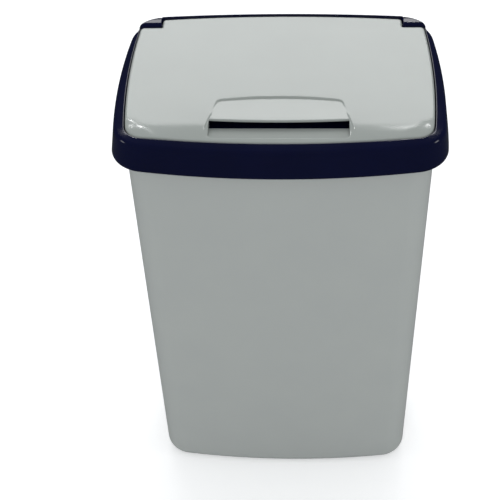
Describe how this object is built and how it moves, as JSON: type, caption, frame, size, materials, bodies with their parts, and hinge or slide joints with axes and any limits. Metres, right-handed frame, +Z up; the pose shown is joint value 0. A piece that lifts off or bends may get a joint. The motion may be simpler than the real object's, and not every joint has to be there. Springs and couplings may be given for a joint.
{
  "type": "waste bin",
  "caption": "Tall tapered plastic waste bin with a clip-over surround and a rear-hinged flip lid with a hooded finger grip.",
  "frame": {"origin": "middle of the base, on the floor", "axes": "+Z up, -Y to the front where the finger grip is, +X to the right of someone facing the back from the front"},
  "size_m": [0.3902, 0.261, 0.66],
  "materials": {
    "bucket_grey": "satin moulded, light grey",
    "surround_navy": "polished, navy blue",
    "lid_grey": "smooth semi-gloss, light grey",
    "pin_navy": "smooth, navy blue"
  },
  "bodies": {
    "bin": {"bucket": "bucket_grey"},
    "surround": {"rim_frame": "surround_navy", "hinge_pin_left": "pin_navy", "hinge_pin_right": "pin_navy"},
    "lid": {"lid": "lid_grey"}
  },
  "joints": [
    {"name": "surround_lift", "type": "slide", "parent": "bin", "child": "surround", "axis": [0, 0, 1], "range_m": [0, 0.1]},
    {"name": "lid_hinge", "type": "hinge", "parent": "surround", "child": "lid", "pos_m": [0, 0.1077, 0.6525], "axis": [-1, 0, 0], "range_deg": [0, 100]}
  ]
}
